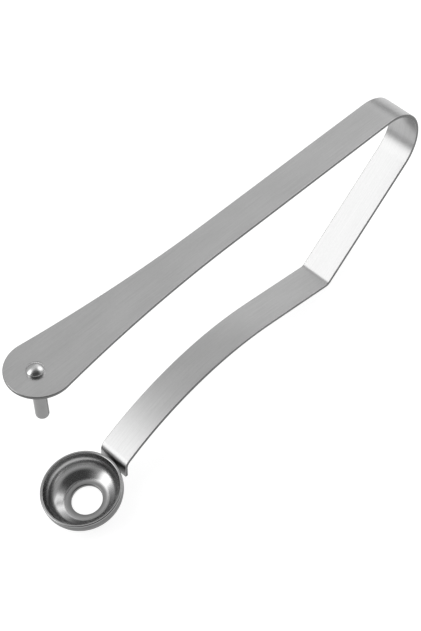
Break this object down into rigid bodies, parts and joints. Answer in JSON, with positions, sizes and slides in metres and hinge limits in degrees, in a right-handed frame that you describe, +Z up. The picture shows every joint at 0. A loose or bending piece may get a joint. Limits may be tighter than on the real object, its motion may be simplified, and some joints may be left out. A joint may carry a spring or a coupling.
{
  "type": "olive pitter",
  "caption": "Hand-squeezed olive pitter: a bent spring-steel strip carries a headed punch over a funnel cup with a pit hole.",
  "frame": {"origin": "middle of the cup's foot, where the pit hole opens on the table that the tool stands on", "axes": "+X from the cup to the bow, +Y across the strip, +Z up, as the tool stands on its cup and its heel with the arms open"},
  "size_m": [0.1761, 0.0276, 0.0833],
  "materials": {
    "strip_steel": "satin stainless steel, brushed along the strip",
    "cup_steel": "polished stainless steel",
    "punch_steel": "polished stainless steel head, satin rod"
  },
  "bodies": {
    "cup_arm": {"lower_arm": "strip_steel", "cup": "cup_steel", "weld_nugget": "cup_steel"},
    "punch_arm": {"upper_arm": "strip_steel", "punch": "punch_steel"}
  },
  "joints": [
    {"name": "bow_flex", "type": "hinge", "parent": "cup_arm", "child": "punch_arm", "pos_m": [0.15999, 0, 0.03096], "axis": [0, -1, 0], "range_deg": [0, 25.5], "stiffness_Nm_per_rad": 2}
  ]
}
